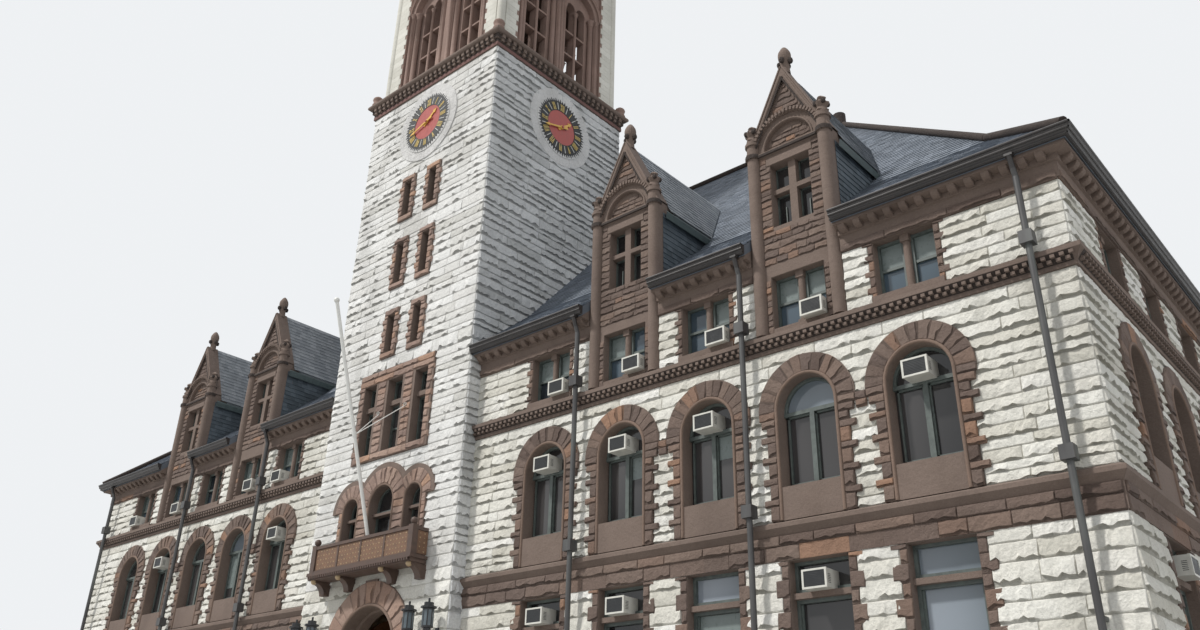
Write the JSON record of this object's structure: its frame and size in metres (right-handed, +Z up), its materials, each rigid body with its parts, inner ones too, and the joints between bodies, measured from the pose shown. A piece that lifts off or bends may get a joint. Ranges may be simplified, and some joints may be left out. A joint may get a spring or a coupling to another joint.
{
  "type": "town hall building with clock tower, 1:2 scale model",
  "caption": "Stone town hall with round-arched windows, slate hip roof, gabled dormers and a central clock tower with working hands, as a 1:2 scale model.",
  "frame": {"origin": "on the ground under the middle of the tower, in the plane of the wings' front wall face", "axes": "+X along the front to the right as seen from the street, +Y into the building, +Z up"},
  "size_m": [22.58, 12.22, 24.1],
  "materials": {
    "granite": "rock-faced coursed ashlar",
    "brownstone": "rubbed and rock-faced brown sandstone",
    "slate": "split slate",
    "floor_boards": "boards on joists",
    "glass": "window glass",
    "oak": "dark stained oak",
    "rainwater": "dark painted sheet",
    "iron": "black painted iron",
    "ac_case": "cream painted sheet",
    "pole": "white painted pole",
    "dial": "enamelled dial",
    "gilt": "gilded"
  },
  "bodies": {
    "building": {"front_walls": "granite", "end_walls": "granite", "rear_wall": "granite", "entrance_piers": "granite", "entrance_arch": "brownstone", "entrance_steps": "granite", "entrance_doors": "oak", "tower_front_wall": "granite", "tower_side_walls": "granite", "tower_rear_wall": "granite", "first_floor": "floor_boards", "second_floor": "floor_boards", "third_floor": "floor_boards", "attic_floor": "floor_boards", "belfry_floor": "floor_boards", "roof_front": "slate", "roof_behind_tower": "slate", "roof_rear": "slate", "roof_ends": "slate", "ridge_and_hip_caps": "brownstone", "dormer_gables": "brownstone", "dormer_cheeks": "slate", "dormer_roofs": "slate", "string_courses": "brownstone", "eaves_cornice": "brownstone", "gutters_and_downpipes": "rainwater", "first_storey_trim": "brownstone", "second_storey_arches": "brownstone", "third_storey_trim": "brownstone", "tower_trim": "brownstone", "first_storey_glass": "glass", "second_storey_glass": "glass", "third_storey_glass": "glass", "dormer_glass": "glass", "tower_glass": "glass", "balcony": "oak", "flagpole": "pole", "lanterns": "iron", "air_conditioners": "ac_case", "tower_cornice": "brownstone", "clock_surrounds": "granite", "clock_dials": "dial", "belfry_piers": "granite", "belfry_front_rear": "brownstone", "belfry_sides": "brownstone", "upper_cornice": "brownstone", "spire_roof": "slate"},
    "front_minute_hand": {"front_minute_hand": "gilt"},
    "front_hour_hand": {"front_hour_hand": "gilt"},
    "right_minute_hand": {"right_minute_hand": "gilt"},
    "right_hour_hand": {"right_hour_hand": "gilt"},
    "rear_minute_hand": {"rear_minute_hand": "gilt"},
    "rear_hour_hand": {"rear_hour_hand": "gilt"},
    "left_minute_hand": {"left_minute_hand": "gilt"},
    "left_hour_hand": {"left_hour_hand": "gilt"}
  },
  "joints": [
    {"name": "front_minute", "type": "hinge", "parent": "building", "child": "front_minute_hand", "pos_m": [0, -0.25, 12.79], "axis": [0, 1, 0], "continuous": true},
    {"name": "front_hour", "type": "hinge", "parent": "building", "child": "front_hour_hand", "pos_m": [0, -0.25, 12.79], "axis": [0, 1, 0], "continuous": true},
    {"name": "right_minute", "type": "hinge", "parent": "building", "child": "right_minute_hand", "pos_m": [1.86, 1.53, 12.79], "axis": [-1, 0, 0], "continuous": true},
    {"name": "right_hour", "type": "hinge", "parent": "building", "child": "right_hour_hand", "pos_m": [1.86, 1.53, 12.79], "axis": [-1, 0, 0], "continuous": true},
    {"name": "rear_minute", "type": "hinge", "parent": "building", "child": "rear_minute_hand", "pos_m": [0, 3.31, 12.79], "axis": [0, -1, 0], "continuous": true},
    {"name": "rear_hour", "type": "hinge", "parent": "building", "child": "rear_hour_hand", "pos_m": [0, 3.31, 12.79], "axis": [0, -1, 0], "continuous": true},
    {"name": "left_minute", "type": "hinge", "parent": "building", "child": "left_minute_hand", "pos_m": [-1.86, 1.53, 12.79], "axis": [1, 0, 0], "continuous": true},
    {"name": "left_hour", "type": "hinge", "parent": "building", "child": "left_hour_hand", "pos_m": [-1.86, 1.53, 12.79], "axis": [1, 0, 0], "continuous": true}
  ],
  "couplings": [
    {"joint": "front_hour", "follows": "front_minute", "ratio": 0.083333},
    {"joint": "right_minute", "follows": "front_minute", "ratio": 1},
    {"joint": "right_hour", "follows": "front_minute", "ratio": 0.083333},
    {"joint": "rear_minute", "follows": "front_minute", "ratio": 1},
    {"joint": "rear_hour", "follows": "front_minute", "ratio": 0.083333},
    {"joint": "left_minute", "follows": "front_minute", "ratio": 1},
    {"joint": "left_hour", "follows": "front_minute", "ratio": 0.083333}
  ]
}
